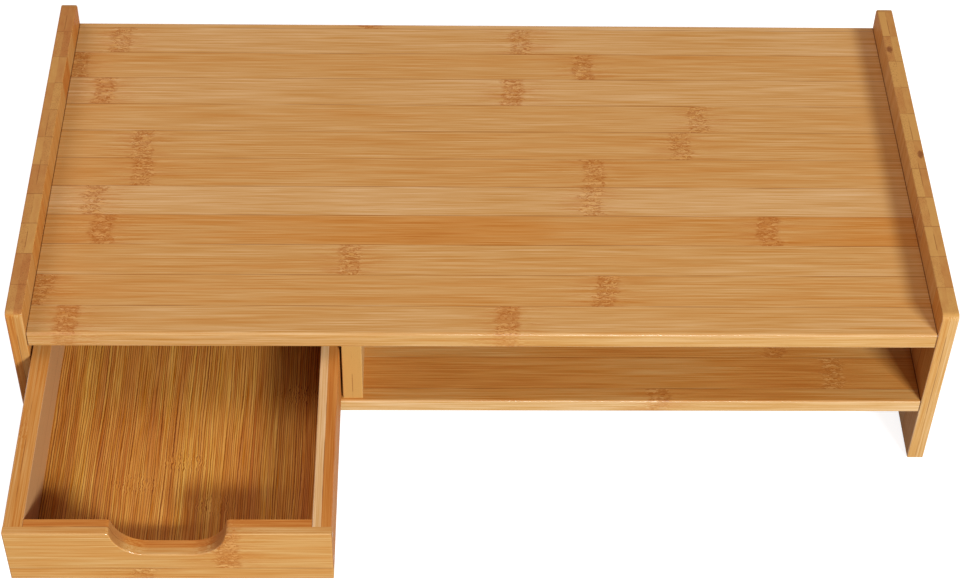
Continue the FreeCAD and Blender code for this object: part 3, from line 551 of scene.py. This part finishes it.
BOARDS = {
    # The top shelf's edge_tone makes its front and back edges a little paler and pinker: partly the wood's
    # own tone, partly a painted sheen.
    "top_shelf": dict(axes="xyz", seed=3.0, knuckles=TOP_KNUCKLES, tones=TOP_TONES,
                      edge_tone=0.3, joint_ends=True),
    # The lower shelf's large edge_tone paints its front and back edges pale again, as lit faces, so that the
    # painted shade stays on its top face.
    "lower_shelf": dict(axes="xyz", seed=11.0, first=11.0, knuckles=LOWER_KNUCKLES, tones=LOWER_SHADED_TONES,
                        edge_tone=2.4, joint_ends=True),
    # face_tone darkens both broad faces of each side panel towards orange-red: painted shade for the inner
    # faces that stand in shadow beside the shelves, strongest on the right panel.
    "left_side_panel": dict(axes="zyx", seed=5.0, knuckles=PANEL_KNUCKLES, first=25.5, ply=5.5,
                            plies=(-1.7, -0.8), face_tone=-0.4),
    "right_side_panel": dict(axes="zyx", seed=8.0, knuckles=PANEL_KNUCKLES, first=25.5, ply=5.5,
                             plies=(0.3, 0.4), face_tone=-0.9, end_tone=0.3,
                             knots=((257.7, 2.9), (149.1, 8.5))),
    "divider": dict(axes="yzx", seed=2.0, first=60.0, strip=80.0, ply=6.5, plies=(0.0, 0.5), end_tone=0.7),
    "drawer_stop_rail": dict(axes="xzy", seed=6.0, first=20.0),
    "drawer_front": dict(axes="xzy", seed=9.0, first=11.0, strip=40.0, ply=5.5, knuckles=((80,), (132,)),
                         tones=(-0.5, -0.3), plies=(0.0, -1.6)),
    # The left drawer wall's broad faces are turned fully to a smooth greyish tan without grain.
    "drawer_left_side": dict(axes="yzx", seed=4.0, first=50.0, ply=5.5, plies=(-0.9, -0.5), grey_tan=1.0),
    "drawer_right_side": dict(axes="yzx", seed=7.0, first=50.0, ply=5.4, plies=(1.2, -1.8)),
    "drawer_back": dict(axes="xzy", seed=12.0, ply=5.5),
}
for node, looks in BOARDS.items():
    dress(node, bamboo(node + "_bamboo", node, **looks))
dress("drawer_floor", fine_bamboo("drawer_floor_bamboo", "drawer_floor", "yxz", 1.0))
for node in nodes:
    if "dowels" in node:
        dress(node, plain_wood(node + "_wood", node))
    elif "screws" in node or "nails" in node:
        dress(node, steel(node + "_steel", node))
    elif "pads" in node:
        dress(node, rubber(node + "_rubber", node))


# Camera, in the place that the photo's straight edges give

PHOTO_WIDTH = 962                       # in pixels
FOCAL = 2165.2                          # in pixels of the photo
CAMERA_PLACE = (-0.0336, -0.9973, 1.1434)
PITCH = math.radians(46.909)
YAW = math.radians(1.934)
ROLL = math.radians(1.587)
SENSOR = 36.0

forward = Vector((math.sin(YAW) * math.cos(PITCH), math.cos(YAW) * math.cos(PITCH), -math.sin(PITCH)))
level = Vector((math.cos(YAW), -math.sin(YAW), 0))
upright = level.cross(forward)
right = level * math.cos(ROLL) + upright * math.sin(ROLL)
up = right.cross(forward)
camera_data = bpy.data.cameras.new("camera")
camera_data.sensor_width = SENSOR
camera_data.lens = FOCAL / PHOTO_WIDTH * SENSOR
camera = bpy.data.objects.new("camera", camera_data)
bpy.context.scene.collection.objects.link(camera)
turned = Matrix((right, up, -forward)).transposed()
camera.matrix_world = Matrix.Translation(CAMERA_PLACE) @ turned.to_4x4()
bpy.context.scene.camera = camera


# The floor, which is a table top, and the lights

TABLE_HALF = 3.0                        # half the width of the table top
TABLE_COLOUR = (0.45, 0.45, 0.45, 1.0)
TABLE_GLOW = 0.88                       # as a background, on top of what the lamps give
WORLD_COLOUR = (1.0, 0.72, 0.74, 1.0)
WORLD_STRENGTH = 0.21
LAMP_DISTANCE = 4.0
AIM = Vector((0.0, 0.0, 0.08))          # the point that the lamps look at


def background_rays(tree):
    """1 for a ray that shows the background: straight to the camera, in a gloss or through glass."""
    path = tree.node("ShaderNodeLightPath")
    rays = path.outputs["Is Camera Ray"]
    for kind in ("Is Glossy Ray", "Is Transmission Ray"):
        rays = tree.math("ADD", rays, path.outputs[kind], clamp=True)
    return rays


def table_top():
    """A pale table top that shows white as a background and keeps a soft shadow."""
    mesh = bpy.data.meshes.new("floor")
    corners = [(x * TABLE_HALF, y * TABLE_HALF, 0) for x, y in ((-1, -1), (1, -1), (1, 1), (-1, 1))]
    mesh.from_pydata(corners, [], [(0, 1, 2, 3)])
    plane = bpy.data.objects.new("floor", mesh)
    bpy.context.scene.collection.objects.link(plane)
    tree = new_material("floor_white")
    tree.shade(Base_Color=TABLE_COLOUR, Roughness=0.9, Specular_IOR_Level=0.1, Emission_Color=WHITE,
               Emission_Strength=tree.times(background_rays(tree), TABLE_GLOW))
    mesh.materials.append(tree.owner)


def lamp(name, direction, width, height, power, colour=WHITE[:3]):
    """A wide soft light that looks at the riser from a direction. power is in watts."""
    data = bpy.data.lights.new(name, "AREA")
    data.shape = "RECTANGLE"
    data.size = width
    data.size_y = height
    data.energy = power
    data.color = colour
    thing = bpy.data.objects.new(name, data)
    bpy.context.scene.collection.objects.link(thing)
    away = Vector(direction).normalized() * LAMP_DISTANCE
    thing.location = AIM + away
    thing.rotation_euler = away.to_track_quat("Z", "Y").to_euler()


def world():
    """Even warm light from all round, and plain white as a background past the table top."""
    tree = Tree(bpy.data.worlds.new("world"), "Background")
    bpy.context.scene.world = tree.owner
    rays = background_rays(tree)
    tree.shade(Color=tree.mix(rays, WORLD_COLOUR, WHITE),
               Strength=tree.step(rays, 0.0, 1.0, WORLD_STRENGTH, 1.0))


table_top()
lamp("key", (0.92, -1.55, 0.97), width=1.1, height=0.5, power=171.0, colour=(0.92, 1.0, 1.0))
lamp("edge_light", (0.20, -1.55, 1.0), width=0.65, height=0.25, power=18.0)
lamp("top_fill", (-0.8, 0.4, 1.1), width=2.5, height=2.5, power=60.0, colour=(1.0, 0.89, 0.88))
world()

bpy.context.scene.view_settings.view_transform = "Standard"
